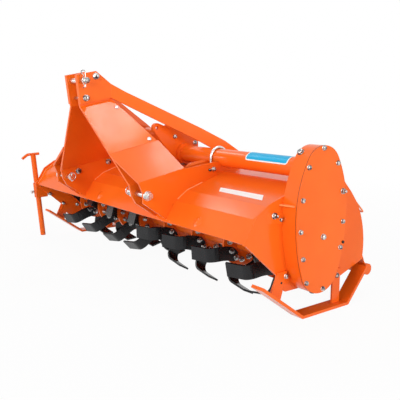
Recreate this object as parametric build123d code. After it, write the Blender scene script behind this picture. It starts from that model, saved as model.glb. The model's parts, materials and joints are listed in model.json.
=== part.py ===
"""Tractor-mounted rotary tiller with a side gear case, 1.8 m working width.

X runs across the machine (the gear case is at +X), the tractor hitches at -Y,
Z is up and the skids stand on the floor at Z = 0.  Side outlines are (Y, Z).
"""
from build123d import *
from math import atan2, cos, degrees, hypot, radians, sin, sqrt, tan
import os

# ---------------------------------------------------------------- driving sizes, mm
hood_left, hood_right = -930.0, 906.0
sheet = 5.0
end_plate = 8.0
case_depth = 66.0
case_wall = 6.0
cover_plate = 5.0

rotor_y, rotor_z = 40.0, 219.0
rotor_tube_r = 40.0
flange_r = 106.0
flange_thick = 10.0
flange_count = 8
flange_first = hood_left + 170.0
flange_pitch = (hood_right - 126.0 - flange_first) / (flange_count - 1)
blades_per_flange = 6
blade_thick = 8.0
blade_bend_from = 137.0
blade_bend_r = 45.0
blade_tilt = 9.0
blade_side_reach = 105.0
gang_turns = (57, 65, 73, 73, 31, 31, 34, 41)

tube_y, tube_z = 64.0, 558.0
tube_r = 38.0
tube_wall = 8.0

mast_plate = 10.0
mast_gap = 80.0
mast_front = -457.0
mast_top = 930.0
hitch_span = 824.0
hitch_channel = 67.0
hitch_pin_y, hitch_pin_z = -338.0, 431.0
hitch_pin_r = 11.0
hitch_pin_reach = 53.0
top_pin_y, top_pin_z = -431.0, mast_top - 41.0
top_pin_r = 12.5

skid_width = 60.0
skid_thick = 12.0
skid_inside = 24.0
skid_beyond_left = 12.0
strap_thick = 8.0

board_pipe_r = 24.0
stand_r = 15.0
stand_x = hood_left - end_plate - 26.0
stand_foot_y = -222.0
stand_top = (-262.0, 490.0)

weld_gap = 0.1
running_fit = 0.05
slide_fit = 0.3
side_clear = 6.0

# ---------------------------------------------------------------- shared outlines, (Y, Z)
hood_line = [(-256, 315), (-201, 397), (-142, 436), (56, 500), (126, 509), (235, 500), (254, 478)]
hinge_y, hinge_z = 262.0, 468.0
hinge_r = 13.0
hinge_pin_r = 6.0
knuckle_count = 9


def strip_points(path, thickness):
    """Both sides of a bent strip: the path itself, and its mitred copy to the right of it."""
    inner = []
    for i, point in enumerate(path):
        before = path[max(i - 1, 0)]
        after = path[min(i + 1, len(path) - 1)]
        normals = []
        for start, end in ((before, point), (point, after)):
            length = hypot(end[0] - start[0], end[1] - start[1])
            if length > 0:
                normals.append(((end[1] - start[1]) / length, -(end[0] - start[0]) / length))
        ny = sum(n[0] for n in normals) / len(normals)
        nz = sum(n[1] for n in normals) / len(normals)
        scale = thickness / (ny * ny + nz * nz)
        inner.append((point[0] + ny * scale, point[1] + nz * scale))
    return list(path) + inner[::-1]


def face(points):
    return make_face(Polyline(*points, close=True))


def side_prism(outline, x_low, x_high):
    return extrude(Plane.YZ.offset(x_low) * outline, amount=x_high - x_low)


def rod(x_low, x_high, y, z, radius):
    return Pos((x_low + x_high) / 2, y, z) * Rot(0, 90, 0) * Cylinder(radius, x_high - x_low)


def pipe(x_low, x_high, y, z, outer, inner):
    return rod(x_low, x_high, y, z, outer) - rod(x_low - 1, x_high + 1, y, z, inner)


def disc(y, z, radius):
    return Pos(y, z) * Circle(radius)


def mirrored(piece):
    return mirror(piece, about=Plane.YZ)


def both_sides(pieces, name, piece):
    pieces[name + "_right"] = piece
    pieces[name + "_left"] = mirrored(piece)


# ---------------------------------------------------------------- hood and end plates
def hood():
    shell = side_prism(face(strip_points(hood_line, sheet)), hood_left, hood_right)
    return hinged(shell, 0)


def hinged(plate, turn):
    """Gives a plate its hinge barrels, and room for the other plate's: turn 0 is the hood, 1 the board."""
    first = hood_left + side_clear
    pitch = (hood_right - hood_left - 2 * side_clear) / knuckle_count
    for i in range(knuckle_count):
        low, high = first + i * pitch, first + (i + 1) * pitch
        if i % 2 == turn:
            plate += rod(low + 1, high - 1, hinge_y, hinge_z, hinge_r)
        else:
            plate -= rod(low - 1, high + 1, hinge_y, hinge_z, hinge_r + 1)
    return plate - rod(hood_left - 1, hood_right + 1, hinge_y, hinge_z, hinge_pin_r + running_fit)


rim = 12.0
plate_low = 110.0
plate_rear_r = 350.0


def end_plate_outline():
    rear_low = (rotor_y + sqrt(plate_rear_r ** 2 - (160 - rotor_z) ** 2), 160)
    rear_high_z = 400
    rear_high = (rotor_y + sqrt(plate_rear_r ** 2 - (rear_high_z - rotor_z) ** 2), rear_high_z)
    rear_mid = (rotor_y + plate_rear_r * cos(radians(12)), rotor_z + plate_rear_r * sin(radians(12)))
    front = [rear_high, (300, 449), (262, 488), (240, 500 + rim), (126, 509 + rim), (56, 500 + rim),
             (-147, 436 + rim), (-210, 397 + rim), (-256 - rim, 315), (-256, 311),
             (-105, 178), (-112, 150), (-60, plate_low), (240, plate_low), rear_low]
    edges = Polyline(*front) + ThreePointArc(rear_low, rear_mid, rear_high)
    outline = make_face(edges)
    ear = disc(tube_y, tube_z, tube_r + 30)
    neck = face([(tube_y - 68, 490), (tube_y + 68, 490), (tube_y + 68, tube_z), (tube_y - 68, tube_z)])
    return outline + ear + neck


def end_plate_piece(x_low):
    outline = end_plate_outline() - disc(rotor_y, rotor_z, bearing_boss_r + weld_gap)
    outline -= disc(tube_y, tube_z, tube_r + weld_gap)
    return side_prism(outline, x_low, x_low + end_plate)


# ---------------------------------------------------------------- side gear case
case_y = 50.0
case_top_z, case_top_r = 560.0, 90.0
case_low_z, case_low_r = 203.0, 101.0
case_wide_z, case_half = case_low_z + 190.0, 134.0


def case_outline(inset):
    """Round top and bottom, joined on each side by two long arcs that meet at the widest place."""
    top_r, low_r, half = case_top_r - inset, case_low_r - inset, case_half - inset
    edges = []
    for centre_z, radius in ((case_top_z, top_r), (case_low_z, low_r)):
        rise = centre_z - case_wide_z
        side_r = (half ** 2 + rise ** 2 - radius ** 2) / (2 * (half - radius))
        away = side_r - half
        length = hypot(away, rise)
        corner_y, corner_z = radius * away / length, centre_z + radius * rise / length
        far_z = centre_z + radius * (1 if rise > 0 else -1)
        half_angle = atan2(corner_z - case_wide_z, corner_y + away) / 2
        bow_y = side_r * cos(half_angle) - away
        bow_z = case_wide_z + side_r * sin(half_angle)
        edges.append(ThreePointArc((case_y - corner_y, corner_z), (case_y, far_z), (case_y + corner_y, corner_z)))
        for side in (-1, 1):
            edges.append(ThreePointArc((case_y + side * half, case_wide_z), (case_y + side * bow_y, bow_z),
                                       (case_y + side * corner_y, corner_z)))
    return make_face(edges)


case_inner = hood_right + end_plate
case_face = case_inner + case_depth


def gear_case():
    pan = side_prism(case_outline(0), case_inner, case_face)
    pan -= side_prism(case_outline(case_wall), case_inner + case_wall, case_face + 1)
    return pan - rod(case_inner - 1, case_inner + case_wall + 1, rotor_y, rotor_z, bearing_boss_r + weld_gap)


def gear_case_cover():
    return side_prism(case_outline(0), case_face, case_face + cover_plate)


# ---------------------------------------------------------------- rotor bearings
bearing_boss_r = 44.0
bearing_flange_r = 64.0
journal_r = 25.0


def bearing_left():
    outer = hood_left - end_plate
    body = rod(outer - 26, outer, rotor_y, rotor_z, bearing_flange_r)
    body += rod(outer, hood_left + 18, rotor_y, rotor_z, bearing_boss_r)
    return body - rod(outer - 14, hood_left + 19, rotor_y, rotor_z, journal_r + running_fit)


def bearing_right():
    body = rod(hood_right - 20, hood_right, rotor_y, rotor_z, bearing_flange_r)
    body += rod(hood_right, case_inner + case_wall, rotor_y, rotor_z, bearing_boss_r)
    return body - rod(hood_right - 21, case_inner + case_wall + 1, rotor_y, rotor_z, journal_r + running_fit)


# ---------------------------------------------------------------- rotor
def blade_profile():
    """Side view of a bent blade, (X, radius): it leaves the flange's far face and crosses over the rim."""
    face_x = -flange_thick / 2 - blade_thick
    turn = radians(90 - blade_tilt)

    def bend_point(radius, angle):
        return face_x + blade_bend_r - radius * cos(angle), blade_bend_from + radius * sin(angle)

    thin = blade_bend_r - blade_thick
    outer_end, inner_end = bend_point(blade_bend_r, turn), bend_point(thin, turn)
    run = blade_side_reach - outer_end[0]
    tip = (blade_side_reach, outer_end[1] + run * tan(radians(blade_tilt)))
    under_tip = (tip[0] + blade_thick * sin(radians(blade_tilt)), tip[1] - blade_thick * cos(radians(blade_tilt)))
    root = (face_x, 0.0)
    thick_root = (face_x + blade_thick, 0.0)
    return make_face([
        Line(root, bend_point(blade_bend_r, 0)),
        ThreePointArc(bend_point(blade_bend_r, 0), bend_point(blade_bend_r, turn / 2), outer_end),
        Line(outer_end, tip),
        Line(tip, under_tip),
        Line(under_tip, inner_end),
        ThreePointArc(inner_end, bend_point(thin, turn / 2), bend_point(thin, 0)),
        Line(bend_point(thin, 0), thick_root),
        Line(thick_root, root),
    ])


def blade_outline():
    """Front view of a blade, (Y, Z): a broad root for its two bolts, then an edge that sweeps back."""
    tip_z = 205.0
    lead_root, lead_tip = (-74, 62), (-61, tip_z)
    trail_root, trail_tip = (-14, 58), (-3, tip_z)
    return make_face([
        ThreePointArc(lead_root, (-55, 145), lead_tip),
        Line(lead_tip, trail_tip),
        ThreePointArc(trail_tip, (4, 130), trail_root),
        Polyline(trail_root, (-38, 38), (-62, 38), lead_root),
    ])


def blade(hand):
    """One L blade pointing up from the rotor axis, with its cross part on the side of the hand."""
    bent = extrude(Plane.XZ * blade_profile(), amount=flange_r, both=True)
    piece = bent & side_prism(blade_outline(), -2 * blade_side_reach, 2 * blade_side_reach)
    return piece if hand > 0 else mirrored(piece)


def blade_gang(index):
    """A flange with its six blades; the last flange has them all on its inner side."""
    last = index == flange_count - 1
    gang = pipe(-flange_thick / 2, flange_thick / 2, 0, 0, flange_r, rotor_tube_r + weld_gap)
    for i in range(blades_per_flange):
        hand = -1 if last or i % 2 else 1
        gang += Rot(i * 360 / blades_per_flange, 0, 0) * blade(hand)
    place = Pos(flange_first + index * flange_pitch, rotor_y, rotor_z)
    return place * Rot(gang_turns[index], 0, 0) * gang


def rotor_tube():
    left, right = hood_left + 30, hood_right - 32
    body = pipe(left, right, rotor_y, rotor_z, rotor_tube_r, rotor_tube_r - 8)
    for low, high in ((left, left + 12), (right - 12, right)):
        body += rod(low, high, rotor_y, rotor_z, rotor_tube_r - 7)
    body += rod(hood_left - end_plate - 12, left + 6, rotor_y, rotor_z, journal_r)
    return body + rod(right - 6, case_inner + case_wall + 20, rotor_y, rotor_z, journal_r)


# ---------------------------------------------------------------- gearbox and tubes
box_half = 75.0
box_front, box_rear = -40.0, 150.0
box_low, box_high = 516.0, 652.0
side_housing = 20.0
flange_plate = 18.0
plate_foot = box_low - 4
input_r = 17.5
snout_front = -105.0
ear_y, ear_z, ear_r = -92.0, 681.0, 22.0


def hull_of(discs):
    edges = []
    for y, z, radius in discs:
        edges += (Pos(y, z) * Circle(radius)).edges()
    return make_face(make_hull(edges))


def along_y(y_low, y_high, x, z, radius):
    return Pos(x, (y_low + y_high) / 2, z) * Rot(90, 0, 0) * Cylinder(radius, y_high - y_low)


def gearbox():
    """Cast box with a round housing for each shaft, a slanted front, ribs and a filler boss on top."""
    housing_end = box_half + side_housing
    above_base = Pos(0, tube_y, box_low + flange_r * 2) * Box(500, 500, flange_r * 4)
    core = side_prism(hull_of([(box_front + 30, box_low + 28, 28), (box_front + 10, box_high - 8, 30),
                               (box_rear - 40, box_high - 30, 40), (box_rear - 28, box_low + 28, 28)]),
                      -box_half, box_half)
    core += rod(-housing_end, housing_end, tube_y, tube_z, 72) & above_base
    core += along_y(snout_front, box_front + 30, 0, tube_z, 46)
    core += along_y(snout_front, snout_front + 12, 0, tube_z, 60) & above_base
    core += Pos(0, tube_y, box_high + 20) * Cylinder(34, 30)
    core += Pos(0, tube_y, box_high + 38) * Cylinder(22, 10)
    for x in (-44, 44):
        core += side_prism(hull_of([(snout_front + 22, tube_z + 34, 8), (box_front + 20, box_high + 4, 12),
                                    (box_front + 20, tube_z, 12)]), x - 5, x + 5)
    core += along_y(box_rear - 6, box_rear + 8, 0, tube_z + 30, 46)
    bore = along_y(snout_front - 10, snout_front + 110, 0, tube_z, input_r + 4 + running_fit)
    return core - bore


def drive_tube(side):
    """Tube with its flange plate against the gearbox: a round plate with an ear at the front and feet."""
    end = case_inner if side > 0 else -(hood_left - end_plate)
    inner = box_half + side_housing
    body = pipe(inner, end, tube_y, tube_z, tube_r, tube_r - tube_wall)
    plate = hull_of([(tube_y, tube_z, 66), (ear_y, ear_z, ear_r), (122, 606, 20), (122, 533, 20), (42, 522, 20)])
    plate -= disc(ear_y, ear_z, 8)
    plate &= face([(-200, plate_foot), (300, plate_foot), (300, mast_top), (-200, mast_top)])
    body += side_prism(plate, inner, inner + flange_plate)
    body += rod(inner + flange_plate, inner + flange_plate + 16, tube_y, tube_z, tube_r + 12)
    body -= rod(inner - 1, end + 1, tube_y, tube_z, tube_r - tube_wall)
    return body if side > 0 else mirrored(body)


def input_shaft():
    """Six-spline power take-off shaft with its bearing collar."""
    turn = Rot(90, 0, 0)
    shaft = Pos(0, snout_front - 40, tube_z) * turn * Cylinder(input_r, 90)
    for i in range(6):
        slot = Pos(input_r, 0, 0) * Box(5.5, 9, 66)
        shaft -= Pos(0, snout_front - 62, tube_z) * turn * Rot(0, 0, i * 60) * slot
    return shaft + Pos(0, snout_front + 45, tube_z) * turn * Cylinder(input_r + 4, 90)


# ---------------------------------------------------------------- mast and hitch
fold_slope = radians(10.9)
high_fold = (-440.0, mast_top - 150.0)
low_fold = (-373.0, 467.0)
flare_fold = (-377.0, 487.0)
flare_drop = 0.555
head_front_low = (-443.0, mast_top - 142.0)
head_top = [(mast_front, mast_top - 17), (-366, mast_top), (-295, mast_top - 53)]
panel_rear = [(-290, mast_top - 115), (-158, 622), (-102, 515)]
panel_holes_at = [(80, -281, mast_top - 154), (212, -198, 641)]
inner_nose = [(-344, 389), (-362, 419), low_fold]
outer_rear = [(-160, 645), (-155, 526)]
outer_nose = [(-357, 401), (-357, 440), flare_fold]
flare_top_front = (-404, 590)
flare_run = 220.0
hood_seat = [(130, 509)] + hood_line[4:0:-1] + [(-249.5, 325)]
tube_seat = [(-60, 536), (tube_y - tube_r - 20, tube_z - 13), (tube_y + tube_r + 24, tube_z - 13)]


def fold_height(point):
    """How high a side-view point lies, measured square to the folds."""
    y, z = point
    return z * cos(fold_slope) - y * sin(fold_slope)


def along_folds(section):
    """The folds of a leg are parallel, so its plates are flat sections carried along the fold direction."""
    fold = Plane(origin=(0, 0, 0), x_dir=(1, 0, 0), z_dir=(0, cos(fold_slope), sin(fold_slope)))
    return extrude(fold * face([(x, -height) for x, height in section]), amount=900, both=True)


hitch_outer = hitch_span / 2
hitch_inner = hitch_outer - mast_plate - hitch_channel
floor_drop = 900.0


def leg_path():
    head_x = mast_gap / 2 + mast_plate
    high, low = fold_height(high_fold), fold_height(low_fold)
    return [(head_x, high + 300), (head_x, high), (hitch_inner, low), (hitch_inner, low - floor_drop)]


def mast_leg():
    """One bent plate: upright head, steep panel and upright inner hitch plate."""
    outline = face([head_front_low] + head_top + panel_rear + tube_seat + hood_seat + inner_nose)
    outline -= disc(tube_y, tube_z, tube_r + slide_fit)
    bent = along_folds(strip_points(leg_path(), mast_plate))
    return (bent & side_prism(outline, 0, hitch_outer)) - head_holes() - hitch_hole() - panel_holes()


def panel_holes():
    first, second = [Pos(*place) * Cylinder(8, 24 * mast_plate) for place in panel_holes_at]
    return first + second


def hitch_bracket():
    """Outer hitch plate, flared off the leg's panel, and the saddle pad between the two plates."""
    flare = fold_height(flare_fold)
    path = [(hitch_outer - flare_run, flare + flare_run * flare_drop), (hitch_outer, flare),
            (hitch_outer, flare - floor_drop)]
    leg_side = strip_points(leg_path(), -weld_gap)[len(leg_path()):]
    inboard = [(-100, leg_side[-1][1]), (-100, leg_side[0][1])]
    sheet_body = along_folds(strip_points(path, mast_plate)) - along_folds(leg_side + inboard)
    outline = face([flare_top_front] + outer_rear + tube_seat + hood_seat + outer_nose)
    outline -= disc(tube_y, tube_z, tube_r + slide_fit)
    pad_low, pad_high = hitch_inner + weld_gap, hitch_outer - mast_plate
    pad_half, pad_top = 61.0, tube_z - tube_r - 1
    pad = Pos((pad_low + pad_high) / 2, tube_y, pad_top - 4.5) * Box(pad_high - pad_low, 2 * pad_half, 9)
    return (sheet_body & side_prism(outline, 0, hitch_outer)) + pad - hitch_hole()


def hitch_hole():
    return rod(0, hitch_span, hitch_pin_y, hitch_pin_z, hitch_pin_r + slide_fit)


def lower_hitch_pin():
    """Stub pin through both hitch plates, reaching inwards, with its washer and nut outside."""
    pin = rod(hitch_inner - mast_plate - hitch_pin_reach, hitch_outer + 26, hitch_pin_y, hitch_pin_z, hitch_pin_r)
    pin += rod(hitch_outer, hitch_outer + 5, hitch_pin_y, hitch_pin_z, 20)
    nut = Rot(0, 90, 0) * extrude(RegularPolygon(16, 6), amount=15)
    return pin + Pos(hitch_outer + 5, hitch_pin_y, hitch_pin_z) * nut


head_half = mast_gap / 2 + mast_plate + 10.0
head_bolts = [(-417, mast_top - 114), (-368, mast_top - 22)]
head_bolt_r = 8.0


def top_link_pin():
    return rod(-head_half - 14, head_half + 44, top_pin_y, top_pin_z, top_pin_r)


def mast_bolts():
    """Two bolts that clamp the mast plates and the braces together."""
    bolts = []
    for y, z in head_bolts:
        bolts.append(rod(-head_half - 10, head_half + 10, y, z, head_bolt_r))
    return Compound(children=bolts)


def head_holes():
    holes = rod(-200, 200, top_pin_y, top_pin_z, top_pin_r + slide_fit)
    for y, z in head_bolts:
        holes += rod(-200, 200, y, z, head_bolt_r + slide_fit)
    return holes


clamp_r = 6.0


def tube_clamp():
    """U-bolt over the tube, with its nuts on the saddle pad."""
    x = hitch_inner + hitch_channel / 2
    loop_r = tube_r + slide_fit + clamp_r
    pad_top = tube_z - tube_r - 1
    ring = Pos(x, tube_y, tube_z) * Rot(0, 90, 0) * Torus(loop_r, clamp_r)
    ring &= Pos(x, tube_y, tube_z + 50) * Box(40, 140, 100)
    for side in (-1, 1):
        y = tube_y + side * loop_r
        ring += Pos(x, y, (pad_top + tube_z) / 2) * Cylinder(clamp_r, tube_z - pad_top)
        ring += Pos(x, y, pad_top) * extrude(RegularPolygon(11, 6), amount=9)
    return ring


# ---------------------------------------------------------------- braces
brace_thick = 10.0
brace_bend_y = -297.0
brace_end_x, brace_end_y = 300.0, 229.0
brace_top = [(-241, mast_top - 86), (68, 681), (171, 621), (brace_end_y, 575)]
brace_under = [(brace_end_y, 520), (180, 550), (68, 618), (-247, mast_top - 139)]


def brace():
    """Flat bar on the mast head, then splayed outwards to its foot at the rear of the hood."""
    inner_x = mast_gap / 2 + mast_plate
    path = [(inner_x + brace_thick, mast_front - 5), (inner_x + brace_thick, brace_bend_y),
            (brace_end_x + brace_thick, brace_end_y)]
    plan = face(strip_points(path, -brace_thick))
    bar = extrude(Plane.XY.offset(box_low - 100) * plan, amount=600)
    above_panel = high_fold[1] + 10
    low = [(y, above_panel + (y - high_fold[0]) * tan(fold_slope)) for y in (brace_bend_y, head_front_low[0])]
    outline = face(low + head_top + brace_top + brace_under)
    return (bar & side_prism(outline, 0, 500)) - head_holes()


def brace_foot():
    """Angle bracket that joins the end of a brace to the back of the hood."""
    outer_x = brace_end_x - 26
    upright = side_prism(face([(186, 505), (232, 501), (232, 560), (186, 560)]), outer_x - 10, outer_x)
    flange = side_prism(face([(180, 505), (234, 500.2), (234, 508), (180, 513)]), outer_x - 44, outer_x)
    return upright + flange


# ---------------------------------------------------------------- skids and straps
skid_line = [(379, 132), (264, 0), (0, 0), (-209, 151)]


def skid(x_low):
    return side_prism(face(strip_points(skid_line, skid_thick)), x_low, x_low + skid_width)


def strap_set(x_low):
    """Front strap leans forward to the toe; rear strap stands on the flat of the skid."""
    front = face([(-58, 192), (-104, 192), (-140, 118), (-92, 83)])
    rear = face([(196, 12), (240, 12), (240, 150), (196, 150)])
    return Compound(children=[side_prism(outline, x_low, x_low + strap_thick) for outline in (front, rear)])


# ---------------------------------------------------------------- trailing board
board_line = [(272, 473), (304, 449), (376, 346), (402, 267), (403, 177), (431, 120)]
board_pipe_y, board_pipe_z = 433.0, 107.0


def trailing_board():
    sheet_body = side_prism(face(strip_points(board_line, sheet)), hood_left + side_clear, hood_right - side_clear)
    sheet_body -= rod(hood_left, hood_right, board_pipe_y, board_pipe_z, board_pipe_r + weld_gap)
    return hinged(sheet_body, 1)


def board_pipe():
    body = pipe(hood_left - 8, hood_right + 4, board_pipe_y, board_pipe_z, board_pipe_r, board_pipe_r - 4)
    return body + rod(hood_right - 2, hood_right + 4, board_pipe_y, board_pipe_z, board_pipe_r - 3)


# ---------------------------------------------------------------- parking stand
stand_lean = degrees(atan2(stand_foot_y - stand_top[0], stand_top[1]))


def along_stand(distance):
    """Place on the stand's axis, a distance up from its foot."""
    return Pos(stand_x, stand_foot_y, 0) * Rot(stand_lean, 0, 0) * Pos(0, 0, distance)


def parking_stand():
    length = hypot(stand_top[1], stand_foot_y - stand_top[0]) - 4
    tube = along_stand(length / 2 + 4) * Cylinder(stand_r, length)
    foot = Pos(stand_x, stand_foot_y, 4) * Cylinder(stand_r - 1, 8)
    handle_r = 8.0
    top_y, top_z = stand_top
    path = FilletPolyline((stand_x, top_y + 36, top_z + 2), (stand_x, top_y - 34, top_z - 1),
                          (stand_x, top_y - 66, top_z - 24), radius=24)
    handle = sweep(Plane(origin=path @ 0, z_dir=path % 0) * Circle(handle_r), path=path)
    return tube + foot + handle


def stand_bracket():
    outer = hood_left - end_plate
    sleeve = along_stand(278) * (Cylinder(stand_r + 6, 85) - Cylinder(stand_r + slide_fit, 86))
    plate = side_prism(face([(-262, 233), (-192, 236), (-192, 330), (-262, 330)]), outer - 8, outer)
    web = side_prism(face([(-252, 240), (-232, 240), (-232, 310), (-252, 310)]), stand_x + 15, outer - 8)
    web -= along_stand(278) * Cylinder(stand_r + 5, 120)
    return plate + sleeve + web


# ---------------------------------------------------------------- assembly
pieces = {}
pieces["hood"] = hood()
pieces["end_plate_left"] = end_plate_piece(hood_left - end_plate)
pieces["end_plate_right"] = end_plate_piece(hood_right)
pieces["gear_case"] = gear_case()
pieces["gear_case_cover"] = gear_case_cover()
pieces["rotor_bearing_left"] = bearing_left()
pieces["rotor_bearing_right"] = bearing_right()
pieces["rotor_tube"] = rotor_tube()
for index in range(flange_count):
    pieces[f"blade_gang_{index + 1}"] = blade_gang(index)
pieces["gearbox"] = gearbox()
pieces["drive_tube"] = drive_tube(1)
pieces["beam_tube"] = drive_tube(-1)
pieces["input_shaft"] = input_shaft()
both_sides(pieces, "mast_leg", mast_leg())
both_sides(pieces, "hitch_bracket", hitch_bracket())
both_sides(pieces, "tube_clamp", tube_clamp())
both_sides(pieces, "brace", brace())
both_sides(pieces, "brace_foot", brace_foot())
both_sides(pieces, "lower_hitch_pin", lower_hitch_pin())
pieces["top_link_pin"] = top_link_pin()
pieces["mast_bolts"] = mast_bolts()
pieces["skid_right"] = skid(case_inner - skid_inside)
pieces["skid_left"] = skid(hood_left - end_plate - skid_beyond_left)
pieces["skid_straps_right"] = strap_set(case_inner)
pieces["skid_straps_left"] = strap_set(hood_left - end_plate - strap_thick)
pieces["hinge_rod"] = rod(hood_left, hood_right, hinge_y, hinge_z, hinge_pin_r)
pieces["trailing_board"] = trailing_board()
pieces["board_pipe"] = board_pipe()
pieces["stand_bracket"] = stand_bracket()
pieces["parking_stand"] = parking_stand()

os.makedirs("parts", exist_ok=True)
for name, piece in pieces.items():
    export_step(piece, f"parts/{name}.step")
    print(name, len(piece.solids()), round(piece.volume / 1e6, 3))
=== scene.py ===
import json
import math
import bmesh
import bpy
from mathutils import Matrix, Vector


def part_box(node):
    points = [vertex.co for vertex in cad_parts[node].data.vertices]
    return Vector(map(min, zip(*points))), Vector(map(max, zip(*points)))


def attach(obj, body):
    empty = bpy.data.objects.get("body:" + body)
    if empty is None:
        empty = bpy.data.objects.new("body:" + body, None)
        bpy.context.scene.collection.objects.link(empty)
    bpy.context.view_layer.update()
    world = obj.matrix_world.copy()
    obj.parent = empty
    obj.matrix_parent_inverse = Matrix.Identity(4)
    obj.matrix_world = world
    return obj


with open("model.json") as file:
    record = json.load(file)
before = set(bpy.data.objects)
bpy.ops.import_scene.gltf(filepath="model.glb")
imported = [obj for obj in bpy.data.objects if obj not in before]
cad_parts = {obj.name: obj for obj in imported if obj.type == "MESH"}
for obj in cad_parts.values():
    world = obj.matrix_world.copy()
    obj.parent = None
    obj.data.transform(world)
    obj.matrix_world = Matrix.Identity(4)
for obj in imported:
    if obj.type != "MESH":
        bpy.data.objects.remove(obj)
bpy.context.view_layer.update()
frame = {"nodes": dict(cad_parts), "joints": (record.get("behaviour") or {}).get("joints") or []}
nodes = frame["nodes"]
joints = {joint["name"]: joint for joint in frame["joints"]}
mm = 0.001
white = (1, 1, 1, 1)
alongX, alongY, alongZ = Vector((1, 0, 0)), Vector((0, 1, 0)), Vector((0, 0, 1))
print("frame loaded:", len(nodes), "nodes")

# camera in front of the right end, almost as high as the mast
camera = {
    "place": (2.3895, -1.5763, 0.8159),
    "look": (-0.78456, 0.59617, -0.17035),
    "lens": 53.1,
}

# two large lamps in front and beside the gear case, and small ones that show in the paint's gloss
studio = {
    "skyGlow": (0.96, 0.26),  # at the horizon and overhead
    "floorColour": (0.72, 0.72, 0.72),
    "floorHalf": 14.0,
    "floorRough": 0.9,
    "floorShine": 0.1,
    "floorGlow": 0.95,  # share of plain white near the machine
    "floorFade": (1.2, 3.6),  # the glow rises to all white between these distances
    "aim": (0, 0, 0.4),
    "lamps": [
        {"name": "overheadLamp", "place": (0.70, 0.56, 3.4), "size": 0.6, "power": 13},
        {"name": "panelLamp", "place": (-0.52, 1.15, 3.4), "size": 0.6, "power": 7},
        {"name": "leftLamp", "place": (-2.2, -0.3, 3.0), "size": 0.8, "power": 12},
        {"name": "bladeLamp", "place": (-2.3, -2.2, 1.1), "size": 0.6, "power": 8},
        {"name": "frontLamp", "place": (1.6, -4.4, 2.0), "size": 2.2, "power": 115},
        {"name": "sideLamp", "place": (7.0, 0.3, 1.3), "size": 2.8, "power": 172},
    ],
}


def turnTo(obj, direction):
    obj.rotation_mode = "QUATERNION"
    obj.rotation_quaternion = direction.to_track_quat("-Z", "Y")


def makeCamera(settings):
    obj = bpy.data.objects.new("camera", bpy.data.cameras.new("camera"))
    bpy.context.collection.objects.link(obj)
    obj.location = settings["place"]
    turnTo(obj, Vector(settings["look"]))
    obj.data.sensor_width = 36
    obj.data.lens = settings["lens"]
    obj.data.clip_end = 100
    bpy.context.scene.camera = obj


def newMaterial(name):
    mat = bpy.data.materials.new(name)
    mat.use_nodes = True
    return mat, mat.node_tree, mat.node_tree.nodes["Principled BSDF"]


def addNode(tree, kind, inputs):
    node = tree.nodes.new(kind)
    for socket, value in inputs.items():
        node.inputs[socket].default_value = value
    return node


def mathNode(tree, operation, first, second=None):
    node = tree.nodes.new("ShaderNodeMath")
    node.operation = operation
    for socket, value in zip(node.inputs, (first, second)):
        if isinstance(value, (int, float)):
            socket.default_value = value
        elif value is not None:
            tree.links.new(value, socket)
    return node.outputs[0]


def mixInto(surface, tree, share, first, second):
    mix = tree.nodes.new("ShaderNodeMixShader")
    for source, socket in zip((share, first.outputs[0], second.outputs[0]), mix.inputs):
        tree.links.new(source, socket)
    tree.links.new(mix.outputs[0], surface)


def seenByEye(tree):  # 1 where a camera, mirror or glass ray asks
    rays = tree.nodes.new("ShaderNodeLightPath").outputs
    mirrored = mathNode(tree, "MAXIMUM", rays["Is Glossy Ray"], rays["Is Transmission Ray"])
    return mathNode(tree, "MAXIMUM", rays["Is Camera Ray"], mirrored)


def makeSky(settings):
    world = bpy.data.worlds.new("studio")
    bpy.context.scene.world = world
    world.use_nodes = True
    tree = world.node_tree
    tree.nodes.clear()
    output = tree.nodes.new("ShaderNodeOutputWorld")
    light = addNode(tree, "ShaderNodeBackground", {"Color": white})
    horizon, overhead = settings["skyGlow"]
    towards = tree.nodes.new("ShaderNodeTexCoord")
    split = tree.nodes.new("ShaderNodeSeparateXYZ")
    rise = addNode(tree, "ShaderNodeMapRange", {"To Min": horizon, "To Max": overhead})
    tree.links.new(towards.outputs["Generated"], split.inputs[0])
    tree.links.new(split.outputs["Z"], rise.inputs["Value"])
    tree.links.new(rise.outputs[0], light.inputs["Strength"])
    seen = addNode(tree, "ShaderNodeBackground", {"Color": white, "Strength": 1.0})
    mixInto(output.inputs["Surface"], tree, seenByEye(tree), light, seen)


def makeFloor(settings):
    mat, tree, shader = newMaterial("paleFloor")
    shader.inputs["Base Color"].default_value = (*settings["floorColour"], 1)
    shader.inputs["Roughness"].default_value = settings["floorRough"]
    shader.inputs["Specular IOR Level"].default_value = settings["floorShine"]
    glow = addNode(tree, "ShaderNodeEmission", {"Color": white})
    coords = tree.nodes.new("ShaderNodeTexCoord")
    away = tree.nodes.new("ShaderNodeVectorMath")
    away.operation = "LENGTH"
    tree.links.new(coords.outputs["Object"], away.inputs[0])
    near, far = settings["floorFade"]
    fadeRange = {"From Min": near, "From Max": far, "To Min": settings["floorGlow"]}
    fade = addNode(tree, "ShaderNodeMapRange", fadeRange)
    tree.links.new(away.outputs["Value"], fade.inputs["Value"])
    share = mathNode(tree, "MULTIPLY", seenByEye(tree), fade.outputs[0])
    mixInto(tree.nodes["Material Output"].inputs["Surface"], tree, share, shader, glow)
    half = settings["floorHalf"]
    corners = [(-half, -half, 0), (half, -half, 0), (half, half, 0), (-half, half, 0)]
    mesh = bpy.data.meshes.new("floor")
    mesh.from_pydata(corners, [], [(0, 1, 2, 3)])
    mesh.materials.append(mat)
    floor = bpy.data.objects.new("floor", mesh)
    bpy.context.collection.objects.link(floor)


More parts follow.
